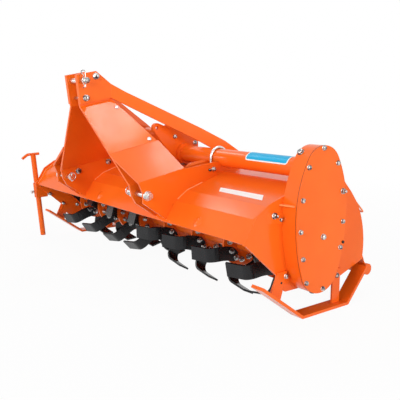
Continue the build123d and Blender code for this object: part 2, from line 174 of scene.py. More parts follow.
def makeLamps(settings):
    for lamp in settings["lamps"]:
        light = bpy.data.lights.new(lamp["name"], "AREA")
        light.shape = "DISK"
        light.size = lamp["size"]
        light.energy = lamp["power"]
        obj = bpy.data.objects.new(lamp["name"], light)
        bpy.context.collection.objects.link(obj)
        obj.location = lamp["place"]
        turnTo(obj, Vector(settings["aim"]) - obj.location)


# finishes
def speckle(tree, scale, detail, stretch=(1, 1, 1)):
    coords = tree.nodes.new("ShaderNodeTexCoord")
    mapping = addNode(tree, "ShaderNodeMapping", {"Scale": stretch})
    noise = addNode(tree, "ShaderNodeTexNoise", {"Scale": scale, "Detail": detail})
    tree.links.new(coords.outputs["Object"], mapping.inputs["Vector"])
    tree.links.new(mapping.outputs["Vector"], noise.inputs["Vector"])
    return noise.outputs["Fac"]


def shades(tree, source, low, high, start=0.3, end=0.7):
    node = tree.nodes.new("ShaderNodeValToRGB")
    for point, place, colour in zip(node.color_ramp.elements, (start, end), (low, high)):
        point.position = place
        point.color = (*colour, 1) if isinstance(colour, tuple) else (colour, colour, colour, 1)
    tree.links.new(source, node.inputs["Fac"])
    return node.outputs["Color"]


def relief(tree, shader, layers, edgeRadius=0):  # a layer is a height, its strength and its depth
    last = None
    if edgeRadius:
        softEdge = addNode(tree, "ShaderNodeBevel", {"Radius": edgeRadius})
        softEdge.samples = 4
        last = softEdge.outputs["Normal"]
    for height, strength, distance in layers:
        node = addNode(tree, "ShaderNodeBump", {"Strength": strength, "Distance": distance})
        tree.links.new(height, node.inputs["Height"])
        if last:
            tree.links.new(last, node.inputs["Normal"])
        last = node.outputs["Normal"]
    tree.links.new(last, shader.inputs["Normal"])


# patterns are a scale, a detail and a stretch; bumps are a strength and a depth
paintGrain = {
    "mottle": (5.0, 3.0),
    "smears": (14.0, 5.0, (1, 1, 0.4)),
    "orangePeel": (420.0, 2.0),
    "peelBump": (0.08, 0.6 * mm),
    "dents": (6.0, 1.0),
    "dentBump": (0.10, 6 * mm),
    "softEdge": 1.6 * mm,
    "bladeMottle": (26.0, 4.0),
    "bladeSmears": (60.0, 4.0),
}
metalGrain = {
    "smears": (130.0, 3.0),
    "scratch": (260.0, 2.0),
    "scratchBump": (0.10, 0.4 * mm),
    "softEdge": 0.6 * mm,
}
filmGrain = {
    "mottle": (90.0, 2.0),
    "paler": (1.05, 0.005),  # the mottle's paler shade, as a gain and a lift
    "skin": (200.0, 2.0),
    "skinBump": (0.08, 0.4 * mm),
}

orangeCoat = {"light": (0.88, 0.143, 0.010), "deep": (0.83, 0.122, 0.008), "gloss": (0.18, 0.27),
              "coat": 0.15, "coatGloss": 0.10, "shine": 0.18}
# a paler, pinker orange for weld beads and thin parts: its paleness is a painted highlight, the glint their
# edges catch
paintedHighlightCoat = {"light": (0.93, 0.32, 0.11), "deep": (0.90, 0.24, 0.06), "gloss": (0.26, 0.38),
            "coat": 0.15, "coatGloss": 0.10, "shine": 0.3}
blackPaint = {"light": (0.010, 0.010, 0.012), "deep": (0.005, 0.005, 0.006), "gloss": (0.24, 0.30),
              "shine": 0.32}
zincPlate = {"light": (0.84, 0.83, 0.79), "deep": (0.60, 0.60, 0.62), "gloss": (0.20, 0.36),
             "mottle": (70.0, 3.0), "ramp": (0.3, 0.7), "stretch": (1, 1, 1)}
boltPlate = {"light": (0.66, 0.65, 0.62), "deep": (0.085, 0.085, 0.10), "gloss": (0.22, 0.38),
             "mottle": (85.0, 3.0), "ramp": (0.4, 0.6), "stretch": (1, 1, 1)}
machinedSteel = {"light": (0.48, 0.47, 0.45), "deep": (0.26, 0.25, 0.24), "gloss": (0.28, 0.42),
                 "mottle": (70.0, 3.0), "ramp": (0.3, 0.7), "stretch": (1, 6, 1)}
# black rubber for the gasket, plug and seal; the same black also paints the shade inside the strap holes
blackRubberAndHoleShade = {"colour": (0.012, 0.012, 0.012), "gloss": 0.6, "shine": 0.25}
whiteVinyl = {"colour": (0.84, 0.84, 0.82), "gloss": 0.35, "shine": 0.25}
blueVinyl = {"colour": (0.0, 0.37, 0.64), "gloss": 0.35, "shine": 0.25}


def makeOrange(name, settings, grain):
    mat, tree, shader = newMaterial(name)
    colour = shades(tree, speckle(tree, *grain["mottle"]), settings["deep"], settings["light"])
    gloss = shades(tree, speckle(tree, *grain["smears"]), *settings["gloss"])
    tree.links.new(colour, shader.inputs["Base Color"])
    tree.links.new(gloss, shader.inputs["Roughness"])
    shader.inputs["Specular IOR Level"].default_value = settings["shine"]
    shader.inputs["Coat Weight"].default_value = settings["coat"]
    shader.inputs["Coat Roughness"].default_value = settings["coatGloss"]
    peel = (speckle(tree, *grain["orangePeel"]), *grain["peelBump"])
    dents = (speckle(tree, *grain["dents"]), *grain["dentBump"])
    relief(tree, shader, [peel, dents], grain["softEdge"])
    return mat


def makeMetal(name, settings, grain):
    mat, tree, shader = newMaterial(name)
    mottle = speckle(tree, *settings["mottle"])
    colour = shades(tree, mottle, settings["deep"], settings["light"], *settings["ramp"])
    gloss = shades(tree, speckle(tree, *grain["smears"]), *settings["gloss"])
    tree.links.new(colour, shader.inputs["Base Color"])
    tree.links.new(gloss, shader.inputs["Roughness"])
    shader.inputs["Metallic"].default_value = 1.0
    scratches = (speckle(tree, *grain["scratch"], settings["stretch"]), *grain["scratchBump"])
    relief(tree, shader, [scratches], grain["softEdge"])
    return mat


def makeFilm(name, settings, grain):
    mat, tree, shader = newMaterial(name)
    gain, lift = grain["paler"]
    paler = tuple(min(1.0, value * gain + lift) for value in settings["colour"])
    colour = shades(tree, speckle(tree, *grain["mottle"]), settings["colour"], paler)
    tree.links.new(colour, shader.inputs["Base Color"])
    shader.inputs["Roughness"].default_value = settings["gloss"]
    shader.inputs["Specular IOR Level"].default_value = settings["shine"]
    relief(tree, shader, [(speckle(tree, *grain["skin"]), *grain["skinBump"])])
    return mat


makeCamera(camera)
makeSky(studio)
makeFloor(studio)
makeLamps(studio)
bpy.context.scene.view_settings.view_transform = "Standard"
orange = makeOrange("orangePowderCoat", orangeCoat, paintGrain)
# pale orange that paints a highlight on the weld beads, the case gusset and the board handle
paintedHighlightOrange = makeOrange("orangePaintedHighlight", paintedHighlightCoat, paintGrain)
zinc = makeMetal("zincPlate", zincPlate, metalGrain)
boltZinc = makeMetal("zincBolts", boltPlate, metalGrain)
steel = makeMetal("machinedSteel", machinedSteel, metalGrain)
# black rubber, also used as painted shade over the strap holes
rubberAndHoleShadeBlack = makeFilm("rubberAndHoleShadeBlack", blackRubberAndHoleShade, filmGrain)
whiteFilm = makeFilm("whiteFilm", whiteVinyl, filmGrain)
blueFilm = makeFilm("blueFilm", blueVinyl, filmGrain)
print("studio and finishes made")

# the rotor: orange flanges and black blades, in one node each
rotor = {
    "gangTurns": (57, 65, 73, 73, 31, 31, 34, 41),
    "blades": 6,
    "flangeHalf": 5 * mm,
    "flangeRadius": 106 * mm,
    "bladeThick": 8 * mm,
    "paintPast": (0.2 * mm, 0.5 * mm),  # how far the orange reaches past the flange's faces and rim
    "boltPlaces": [(-24, 73), (-58, 50)],
    "boltSize": 12 * mm,
    "nutStud": 0.35,
}


def makeGangPaint(name, flangeX, settings):  # orange within the flange's faces and rim, black elsewhere
    mat = orange.copy()
    mat.name = name
    tree = mat.node_tree
    dark = addNode(tree, "ShaderNodeBsdfPrincipled", {"Specular IOR Level": blackPaint["shine"]})
    gloss = shades(tree, speckle(tree, *paintGrain["bladeSmears"]), *blackPaint["gloss"])
    mottle = speckle(tree, *paintGrain["bladeMottle"])
    colour = shades(tree, mottle, blackPaint["deep"], blackPaint["light"])
    tree.links.new(gloss, dark.inputs["Roughness"])
    tree.links.new(colour, dark.inputs["Base Color"])
    pivot = joints["rotor_spin"]["pos_m"]
    coords = tree.nodes.new("ShaderNodeTexCoord")
    split = tree.nodes.new("ShaderNodeSeparateXYZ")
    tree.links.new(coords.outputs["Object"], split.inputs[0])
    sideways = mathNode(tree, "ABSOLUTE", mathNode(tree, "SUBTRACT", split.outputs["X"], flangeX))
    y = mathNode(tree, "SUBTRACT", split.outputs["Y"], pivot[1])
    z = mathNode(tree, "SUBTRACT", split.outputs["Z"], pivot[2])
    squares = mathNode(tree, "ADD", mathNode(tree, "MULTIPLY", y, y), mathNode(tree, "MULTIPLY", z, z))
    radius = mathNode(tree, "SQRT", squares)
    pastFace, pastRim = settings["paintPast"]
    thin = mathNode(tree, "LESS_THAN", sideways, settings["flangeHalf"] + pastFace)
    inside = mathNode(tree, "LESS_THAN", radius, settings["flangeRadius"] + pastRim)
    share = mathNode(tree, "MULTIPLY", thin, inside)
    coat = tree.nodes["Principled BSDF"]
    mixInto(tree.nodes["Material Output"].inputs["Surface"], tree, share, dark, coat)
    return mat


def flangeMiddle(index):  # the last gang has all its blades on its inner side
    low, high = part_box(f"blade_gang_{index + 1}")
    if index == len(rotor["gangTurns"]) - 1:
        return high.x - rotor["flangeHalf"] - rotor["bladeThick"]
    return (low.x + high.x) / 2


def dress(obj, material):
    obj.data.materials.clear()
    obj.data.materials.append(material)


def dressFrame():
    plated = ("tube_clamp", "lower_hitch_pin", "top_link_pin", "mast_bolts", "hinge_rod")
    for name, obj in nodes.items():
        if name.startswith("blade_gang_"):
            index = int(name.rsplit("_", 1)[1]) - 1
            dress(obj, makeGangPaint(f"gangPaint{index + 1}", flangeMiddle(index), rotor))
        elif name.startswith(plated):
            dress(obj, zinc)
        elif name == "input_shaft":
            dress(obj, steel)
        else:
            dress(obj, orange)


dressFrame()
print("frame dressed")


# small parts: helpers that add to one mesh, so that a group of bolts is one piece
def basis(axis, turn=0.0):  # two directions square to the axis
    first = axis.orthogonal().normalized()
    first.rotate(Matrix.Rotation(turn, 3, axis))
    return first, axis.cross(first)


def ringPoints(middle, first, second, radius, count, start=0.0):
    turns = [start + 2 * math.pi * i / count for i in range(count)]
    return [middle + (first * math.cos(turn) + second * math.sin(turn)) * radius for turn in turns]


def turned(bm, place, axis, profile, sides, turn=0.0, smooth=True):  # a profile of (radius, height) points
    first, second = basis(axis, turn)
    rings = []
    for radius, height in profile:
        centre = place + axis * height
        if radius == 0:
            rings.append([bm.verts.new(centre)])
            continue
        rings.append([bm.verts.new(point) for point in ringPoints(centre, first, second, radius, sides)])
    for low, high in zip(rings, rings[1:]):
        for i in range(sides):
            j = (i + 1) % sides
            if len(low) == 1:
                face = bm.faces.new((low[0], high[j], high[i]))
            elif len(high) == 1:
                face = bm.faces.new((low[i], low[j], high[0]))
            else:
                face = bm.faces.new((low[i], low[j], high[j], high[i]))
            face.smooth = smooth


# a bolt's parts, as shares of its size
boltShape = {"washer": 1.05, "washerThick": 0.16, "corner": 0.98, "head": 0.64, "thread": 0.15}


def washer(bm, place, axis, size):
    outer, thick = boltShape["washer"] * size, boltShape["washerThick"] * size
    profile = [(outer, -0.2 * mm), (outer, thick * 0.7), (outer * 0.96, thick), (0, thick)]
    turned(bm, place, axis, profile, 24)
    return thick


def hexHead(bm, place, axis, size, turn=0.0):
    corner, height = boltShape["corner"] * size, boltShape["head"] * size
    profile = [(corner, 0), (corner, height * 0.82), (corner * 0.86, height), (0, height)]
    turned(bm, place, axis, profile, 6, turn, smooth=False)
    face = [(corner * 0.62, 0), (corner * 0.60, 0.3 * mm), (0, 0.3 * mm)]
    turned(bm, place + axis * height, axis, face, 18)
    return height


def bolt(bm, place, axis, size, turn=0.0):
    base = place + axis * washer(bm, place, axis, size)
    hexHead(bm, base, axis, size, turn)


def nut(bm, place, axis, size, turn=0.0, stud=0.7):
    base = place + axis * washer(bm, place, axis, size)
    height = hexHead(bm, base, axis, size, turn)
    radius, pitch, rise = size / 2, size * boltShape["thread"], size * stud
    profile, up = [(radius, 0)], 0.0
    while up < rise:
        profile += [(radius * 0.86, up + pitch * 0.5), (radius, up + pitch)]  # thread groove and crest
        up += pitch
    profile += [(radius * 0.8, up + 0.1 * size), (0, up + 0.1 * size)]
    turned(bm, base + axis * height, axis, profile, 14)


def finishPiece(name, bm, body, material):
    mesh = bpy.data.meshes.new(name)
    bm.to_mesh(mesh)
    bm.free()
    mesh.materials.append(material)
    obj = bpy.data.objects.new(name, mesh)
    bpy.context.collection.objects.link(obj)
    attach(obj, body)


def seat(node, start, direction):  # where a ray from the start meets the node, and its outward direction
    hit, place, normal, face = nodes[node].ray_cast(Vector(start), Vector(direction))
    if not hit:
        raise ValueError(f"nothing of {node} lies along {direction} from {start}")
    return place, normal


def seatBeside(node, start, direction, aside):  # looks a little to the side, past a hole under the start
    place, normal = seat(node, start + aside, direction)
    return place - aside, normal


def bar(bm, points, radius, sides=8, closed=False, ripple=0.0):  # round bar along a line of points
    count = len(points)
    rings, side = [], None
    for i, point in enumerate(points):
        after = points[(i + 1) % count] if closed or i + 1 < count else point
        before = points[i - 1] if closed or i > 0 else point
        ahead = (after - before).normalized()
        side = ahead.orthogonal() if side is None else side - ahead * side.dot(ahead)
        side.normalize()
        up = ahead.cross(side)
        here = radius * (1 + ripple * math.sin(i * 2.1))
        rings.append([bm.verts.new(corner) for corner in ringPoints(point, side, up, here, sides)])
    for low, high in zip(rings, rings[1:] + (rings[:1] if closed else [])):
        for j in range(sides):
            k = (j + 1) % sides
            bm.faces.new((low[j], low[k], high[k], high[j])).smooth = True
    if not closed:
        bm.faces.new(rings[0][::-1])
        bm.faces.new(rings[-1])


def curveThrough(points, steps=8):  # smooth line through a few points
    ends = [points[0] * 2 - points[1]] + points + [points[-1] * 2 - points[-2]]
    line = []
    for a, b, c, d in zip(ends, ends[1:], ends[2:], ends[3:]):
        for i in range(steps):
            t = i / steps
            line.append(0.5 * (2 * b + (c - a) * t + (2 * a - 5 * b + 4 * c - d) * t * t
                               + (3 * b - a - 3 * c + d) * t * t * t))
    return line + [points[-1]]


def divided(points, step):  # points at even steps along straight runs
    line = []
    for a, b in zip(points, points[1:]):
        parts = max(1, round((b - a).length / step))
        line += [a.lerp(b, i / parts) for i in range(parts)]
    return line + [points[-1]]


def prism(bm, corners, direction):  # flat plate: corners in order, pushed along a direction
    low = [bm.verts.new(corner) for corner in corners]
    high = [bm.verts.new(corner + direction) for corner in corners]
    bm.faces.new(low[::-1])
    bm.faces.new(high)
    for i in range(len(corners)):
        j = (i + 1) % len(corners)
        bm.faces.new((low[i], low[j], high[j], high[i]))


def straightNormals(bm):
    bmesh.ops.recalc_face_normals(bm, faces=bm.faces)


# in the settings below, places and profiles are in millimetres, and lookFrom is where a seat's ray starts
def inMetres(profile):
    return [(radius * mm, height * mm) for radius, height in profile]


def spot(x, y, z):
    return Vector((x * mm, y * mm, z * mm))


# gear case: bolts round the cover and in its middle, plugs, the gasket in its seam, a corner plate
gearCase = {
    "lookFrom": 1300,
    "rimBolts": [(45, 641), (124, 582), (-30, 576), (-56, 461), (-63, 348), (-47, 246), (-26, 154), (64, 116),
                 (155, 261), (164, 359)],
    "rimSize": 9 * mm,
    "rimTurn": 0.7,  # each head stands this much further round than the one before
    "bigNuts": [(158, 475)],
    "centreBolt": (57, 315),
    "bigSize": 11 * mm,
    "levelPlug": (169, 279),
    "levelPlugHead": [(6, 0), (6, 4), (5, 5), (0, 5)],
    "fillerPlug": (928, -15, 627),
    "topCentre": (928, 50, 560),
    "underDrain": (948, 50, -98),
    "plugSize": 12 * mm,
    "gusset": [(914, -100), (973, -90), (973, -78), (914, -78)],
    "gussetHeight": 438,
    "gussetThick": 5 * mm,
    "seamWidth": 1.4 * mm,
    "seamProud": 0.4 * mm,
}


def onCover(y, z):
    return seat("gear_case_cover", spot(gearCase["lookFrom"], y, z), -alongX)


def coverBolts(settings):
    bm = bmesh.new()
    for i, (y, z) in enumerate(settings["rimBolts"]):
        bolt(bm, *onCover(y, z), settings["rimSize"], i * settings["rimTurn"])
    for y, z in settings["bigNuts"]:
        nut(bm, *onCover(y, z), settings["bigSize"])
    bolt(bm, *onCover(*settings["centreBolt"]), settings["bigSize"])
    finishPiece("coverBolts", bm, "frame", boltZinc)


def coverPlug(settings):
    bm = bmesh.new()
    turned(bm, *onCover(*settings["levelPlug"]), inMetres(settings["levelPlugHead"]), 6, smooth=False)
    finishPiece("levelPlug", bm, "frame", rubberAndHoleShadeBlack)


def outlineAt(node, x):  # a convex node's outline at one x, in order round its middle
    corners = [vert.co for vert in nodes[node].data.vertices]
    points = {(round(corner.y, 6), round(corner.z, 6)) for corner in corners if abs(corner.x - x) < 0.01 * mm}
    middle = (sum(p[0] for p in points) / len(points), sum(p[1] for p in points) / len(points))
    return middle, sorted(points, key=lambda p: math.atan2(p[1] - middle[1], p[0] - middle[0]))


def coverGasket(settings):
    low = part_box("gear_case_cover")[0].x
    middle, outline = outlineAt("gear_case_cover", low)
    bm = bmesh.new()
    rings = []
    half, proud = settings["seamWidth"] / 2, settings["seamProud"]
    for x, out in ((low - half, -proud), (low - half, proud), (low + half, proud), (low + half, -proud)):
        ring = []
        for y, z in outline:
            away = Vector((y - middle[0], z - middle[1]))
            away *= 1 + out / away.length
            ring.append(bm.verts.new((x, middle[0] + away.x, middle[1] + away.y)))
        rings.append(ring)
    for first, second in zip(rings, rings[1:] + rings[:1]):
        for i in range(len(outline)):
            j = (i + 1) % len(outline)
            bm.faces.new((first[i], first[j], second[j], second[i])).smooth = True
    finishPiece("coverGasket", bm, "frame", rubberAndHoleShadeBlack)


def casePlugs(settings):  # filler bolt on the shoulder, drain bolt underneath
    bm = bmesh.new()
    filler = spot(*settings["fillerPlug"])
    inwards = (spot(*settings["topCentre"]) - filler).normalized()
    place, normal = seat("gear_case", filler - inwards * 100 * mm, inwards)
    bolt(bm, place, -inwards, settings["plugSize"])
    bolt(bm, *seat("gear_case", spot(*settings["underDrain"]), alongZ), settings["plugSize"])
    finishPiece("casePlugs", bm, "frame", boltZinc)


def caseGusset(settings):  # small corner plate between the end plate and the case
    bm = bmesh.new()
    corners = [spot(x, y, settings["gussetHeight"]) for x, y in settings["gusset"]]
    prism(bm, corners, alongZ * settings["gussetThick"])
    straightNormals(bm)
    # the plate gets the pale orange as a painted highlight on its lit top
    finishPiece("caseGusset", bm, "frame", paintedHighlightOrange)


coverBolts(gearCase)
coverPlug(gearCase)
coverGasket(gearCase)
casePlugs(gearCase)
caseGusset(gearCase)
print("gear case done")


def rotorBolts(settings):  # a blade of one hand lies on the flange's other side
    pivot = Vector(joints["rotor_spin"]["pos_m"])
    size = settings["boltSize"]
    bm = bmesh.new()
    for index, turn in enumerate(settings["gangTurns"]):
        last = index == len(settings["gangTurns"]) - 1
        centre = Vector((flangeMiddle(index), pivot.y, pivot.z))
        for blade in range(settings["blades"]):
            hand = -1 if last or blade % 2 else 1
            spin = Matrix.Rotation(math.radians(blade * 360 / settings["blades"] + turn), 3, "X")
            for y, z in settings["boltPlaces"]:
                middle = centre + spin @ spot(0, y, z)
                head = middle - alongX * hand * (settings["flangeHalf"] + settings["bladeThick"])
                back = middle + alongX * hand * settings["flangeHalf"]
                bolt(bm, head, -alongX * hand, size, blade)
                nut(bm, back, alongX * hand, size, blade, settings["nutStud"])
    finishPiece("rotorBolts", bm, "rotor", boltZinc)


rotorBolts(rotor)
print("rotor bolts done")

# end plates: a small bolted plate on the right one, strap bolts, bearing bolts, bolts through the left one
endPlates = {
    "smallPlate": [(-157, 378), (-78, 368), (-68, 409), (-160, 419)],
    "smallPlateX": 914,
    "smallPlateThick": (0.4, 5, 5, 0.4),  # at its corners, thin in front
    "studNut": (-126, 404),
    "studSize": 11.5 * mm,
    "plainBolt": (-92, 386),
    "plainSize": 8 * mm,
    "strapBolts": [(219, 124), (-65, 173)],
    "strapHole": (-88, 151),
    # a black disc that paints the shade inside each strap hole
    "holeShadeDisc": [(4.5, -0.5), (4.5, 0.15), (0, 0.15)],
    "strapX": (922, -946),
    "insideBolts": [(-180, 252), (-99, 186), (-9, 170)],
    "size": 10 * mm,
    "leftInside": -700,  # starts of the seats' rays
    "leftOutside": -1200,
    "rightInside": 850,
    "bearingBolts": 6,
    "bearingRadius": 54 * mm,
    "bearingSize": 9 * mm,
}


def smallPlate(settings):
    bm = bmesh.new()
    x = settings["smallPlateX"]
    prism(bm, [spot(x, y, z) for y, z in settings["smallPlate"]], alongX)
    bm.verts.ensure_lookup_table()
    for vert, thick in zip(bm.verts[4:], settings["smallPlateThick"]):
        vert.co.x = (x + thick) * mm
    straightNormals(bm)
    finishPiece("endSmallPlate", bm, "frame", orange)


def endPlateBolts(settings):
    bm = bmesh.new()
    size = settings["size"]
    face = settings["smallPlateX"] + max(settings["smallPlateThick"]) / 2
    nut(bm, spot(face, *settings["studNut"]), alongX, settings["studSize"], 0.4, 0.9)
    bolt(bm, spot(face, *settings["plainBolt"]), alongX, settings["plainSize"], 0.2)
    for x, out in zip(settings["strapX"], (alongX, -alongX)):
        for y, z in settings["strapBolts"]:
            bolt(bm, spot(x, y, z), out, size, z)
    for y, z in settings["insideBolts"]:
        nut(bm, *seat("end_plate_left", spot(settings["leftInside"], y, z), -alongX), size, y, 0.6)
        bolt(bm, *seat("end_plate_left", spot(settings["leftOutside"], y, z), alongX), size, y)
    pivot = Vector(joints["rotor_spin"]["pos_m"])
    count = settings["bearingBolts"]
    circle = ringPoints(pivot, alongY, alongZ, settings["bearingRadius"], count, math.pi / count)
    for node, x in (("rotor_bearing_left", "leftOutside"), ("rotor_bearing_right", "rightInside")):
        for i, point in enumerate(circle):
            start = (settings[x] * mm, point.y, point.z)
            bolt(bm, *seat(node, start, alongX), settings["bearingSize"], i)
    finishPiece("endPlateBolts", bm, "frame", boltZinc)


def strapHoles(settings):  # a drilled hole drawn as a black disc set in the strap: painted shade in place of the hole's depth
    bm = bmesh.new()
    for x, out in zip(settings["strapX"], (alongX, -alongX)):
        turned(bm, spot(x, *settings["strapHole"]), out, inMetres(settings["holeShadeDisc"]), 16)
    finishPiece("strapHoles", bm, "frame", rubberAndHoleShadeBlack)


smallPlate(endPlates)
endPlateBolts(endPlates)
strapHoles(endPlates)
print("end plates done")

# mast and hitch: head bolts, the top pin's ends and clip, linch pins, panel studs, bolts of the hitch plates
mast = {
    "headBolts": [(-417, 816), (-368, 908)],
    "headX": 60,
    "nutSize": 14 * mm,
    "boltSize": 16.1 * mm,
    "topPin": (-431, 889),
    "topPinLeftX": -60.3,
    "topPinHead": [(19, 0), (19, 6), (17, 8), (0, 8)],
    "topPinRightX": 104,
    "topPinTip": [(12.2, -0.2), (12.2, 0.6), (0, 0.6)],  # a disc over the pin's end
    "clipX": 88,
    "clipWire": 1.9 * mm,
    "clipLine": [(0, -30), (0, 0), (0, 32), (-2, 39), (-9, 42), (-18, 38), (-17, 28), (-8, 20), (-14.5, 0),
                 (-8, -17), (-4, -22), (-11, -32)],
    "linchPin": (280, -338, 431),
    "linchBelow": 20,
    "linchBody": [(0, 0), (3, 1.5), (4, 4), (4, 32), (6, 33), (6, 44), (5, 46), (0, 46)],
    "lugAbove": 19,
    "lugLength": 6 * mm,
    "ringAside": 5,
    "ringAbove": 5,
    "ringRadius": 18 * mm,
    "ringWire": 2 * mm,
    "innerX": 325,
    "innerBolts": [(-280, 455), (-110, 491)],
    "innerSize": 14 * mm,
    "outerX": 412,
    "saddleNut": (0, 514),
    "saddleSize": 10 * mm,
    "saddleStud": (-22, 512),
    "saddleStudEnd": [(6, -0.3), (6, 7), (5, 8), (0, 8)],
    "panelStuds": [(80, -281), (212, -198)],
    "studAside": 14 * mm,  # clear of the hole under the stud
    "studDome": [(10, -0.3), (10, 2), (7, 5), (3, 6.3), (0, 6.5)],
    "lookFrom": 900,
}


def mastBolts(settings):
    bm = bmesh.new()
    for y, z in settings["headBolts"]:
        nut(bm, spot(settings["headX"], y, z), alongX, settings["nutSize"], y, 0.5)
        bolt(bm, spot(-settings["headX"], y, z), -alongX, settings["boltSize"], y)
    pinHead = spot(settings["topPinLeftX"], *settings["topPin"])
    turned(bm, pinHead, -alongX, inMetres(settings["topPinHead"]), 28)
    for side in (1, -1):
        out = alongX * side
        for y, z in settings["innerBolts"]:
            bolt(bm, spot(side * settings["innerX"], y, z), -out, settings["innerSize"], y)
        outerX = side * settings["outerX"]
        nut(bm, spot(outerX, *settings["saddleNut"]), out, settings["saddleSize"], 0.5, 0.3)
        turned(bm, spot(outerX, *settings["saddleStud"]), out, inMetres(settings["saddleStudEnd"]), 16)
    finishPiece("mastBolts", bm, "frame", boltZinc)


def panelStuds(settings):  # round heads that close the holes of the steep panels
    bm = bmesh.new()
    aside = alongY * settings["studAside"]
    for side, leg in ((1, "mast_leg_right"), (-1, "mast_leg_left")):
        for x, y in settings["panelStuds"]:
            above = spot(side * x, y, settings["lookFrom"])
            low, normal = seatBeside(leg, above, -alongZ, aside)
            high, normal = seatBeside(leg, above, -alongZ, -aside)
            turned(bm, (low + high) / 2, normal, inMetres(settings["studDome"]), 24)
    finishPiece("panelStuds", bm, "frame", zinc)


def topPinEnd(settings):  # the pin's cut end is bare and dark
    bm = bmesh.new()
    place = spot(settings["topPinRightX"], *settings["topPin"])
    turned(bm, place, alongX, inMetres(settings["topPinTip"]), 24)
    finishPiece("topPinEnd", bm, "frame", steel)


def topClip(settings):  # spring clip: one leg straight through the pin, the other bent round it
    bm = bmesh.new()
    y, z = settings["topPin"]
    line = [spot(settings["clipX"], y + back, z + up) for back, up in settings["clipLine"]]
    bar(bm, curveThrough(line), settings["clipWire"])
    straightNormals(bm)
    finishPiece("topPinClip", bm, "frame", boltZinc)


def linchPins(settings):
    bm = bmesh.new()
    x, y, z = settings["linchPin"]
    for side in (1, -1):
        body = inMetres(settings["linchBody"])
        turned(bm, spot(side * x, y, z - settings["linchBelow"]), alongZ, body, 14)
        middle = spot(side * (x - settings["ringAside"]), y, z + settings["ringAbove"])
        ring = ringPoints(middle, alongY, alongZ, settings["ringRadius"], 36)
        bar(bm, ring, settings["ringWire"], closed=True)
        lug = spot(side * x, y, z + settings["lugAbove"])
        bar(bm, [lug, lug - alongX * side * settings["lugLength"]], settings["ringWire"])
    straightNormals(bm)
    finishPiece("linchPins", bm, "frame", zinc)


mastBolts(mast)
panelStuds(mast)
topPinEnd(mast)
topClip(mast)
linchPins(mast)
print("mast fittings done")

# gearbox: bolts on the tube flanges and covers, shaft seal, breather
gearbox = {
    "flangeBolts": [(6, 638), (122, 606), (122, 533)],
    "flangeSize": 9.5 * mm,
    "coverSize": 8 * mm,
    "frontHeight": 558,
    "frontBolts": 6,
    "frontRadius": 53 * mm,
    "flatEnough": 0.9,  # a front bolt is only set where the face looks forward this much
    "rearHeight": 588,
    "rearBolts": 6,
    "rearRadius": 37 * mm,
    "aside": 200,  # starts of the seats' rays
    "inFront": -300,
    "behind": 400,
    "above": 900,
    "seal": [(33, 0), (33, 2.5), (30, 4), (24, 3), (20, 5), (18, 4), (18, 0)],
    "breather": (0, 64),
    "breatherHex": [(13, 0), (13, 8), (11.5, 9), (0, 9)],
    "breatherCap": [(5, 9), (5, 14), (8, 15), (8, 21), (6, 24), (0, 24.5)],
}


def gearboxBolts(settings):
    bm = bmesh.new()
    for side, tube in ((1, "drive_tube"), (-1, "beam_tube")):
        for y, z in settings["flangeBolts"]:
            start = spot(side * settings["aside"], y, z)
            bolt(bm, *seat(tube, start, -alongX * side), settings["flangeSize"], y)
    middle = spot(0, settings["inFront"], settings["frontHeight"])
    circle = ringPoints(middle, alongX, alongZ, settings["frontRadius"], settings["frontBolts"])
    for i, start in enumerate(circle):
        hit, place, normal, face = nodes["gearbox"].ray_cast(start, alongY)
        if hit and normal.y < -settings["flatEnough"]:
            bolt(bm, place, normal, settings["coverSize"], i)
    count = settings["rearBolts"]
    middle = spot(0, settings["behind"], settings["rearHeight"])
    circle = ringPoints(middle, alongX, alongZ, settings["rearRadius"], count, math.pi / count)
    for i, start in enumerate(circle):
        bolt(bm, *seat("gearbox", start, -alongY), settings["coverSize"], i)
    finishPiece("gearboxBolts", bm, "frame", boltZinc)


def gearboxBreather(settings):
    bm = bmesh.new()
    place, normal = seat("gearbox", spot(*settings["breather"], settings["above"]), -alongZ)
    turned(bm, place, alongZ, inMetres(settings["breatherHex"]), 6, smooth=False)
    turned(bm, place, alongZ, inMetres(settings["breatherCap"]), 18)
    finishPiece("gearboxBreather", bm, "frame", zinc)


def shaftSeal(settings):
    bm = bmesh.new()
    middle = Vector((0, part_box("gearbox")[0].y, settings["frontHeight"] * mm))
    turned(bm, middle, -alongY, inMetres(settings["seal"]), 40)
    finishPiece("shaftSeal", bm, "frame", rubberAndHoleShadeBlack)


gearboxBolts(gearbox)
gearboxBreather(gearbox)
shaftSeal(gearbox)
print("gearbox done")

# brace feet: bolts through the foot and the bar, and down into the hood
braceFeet = {
    "barBolt": (209, 533),
    "barSize": 11 * mm,
    "hoodBolts": [(250, 196), (250, 220)],
    "hoodSize": 8.8 * mm,
    "outside": 500,  # starts of the seats' rays
    "inside": 100,
    "above": 540,
}


def braceFootBolts(settings):
    bm = bmesh.new()
    for side, name in ((1, "right"), (-1, "left")):
        outside = spot(side * settings["outside"], *settings["barBolt"])
        nut(bm, *seat(f"brace_{name}", outside, -alongX * side), settings["barSize"], 0.3, 0.5)
        inside = spot(side * settings["inside"], *settings["barBolt"])
        bolt(bm, *seat(f"brace_foot_{name}", inside, alongX * side), settings["barSize"], 0.7)
        for x, y in settings["hoodBolts"]:
            above = spot(side * x, y, settings["above"])
            bolt(bm, *seat(f"brace_foot_{name}", above, -alongZ), settings["hoodSize"], y)
    finishPiece("braceFootBolts", bm, "frame", boltZinc)


braceFootBolts(braceFeet)
print("brace feet done")

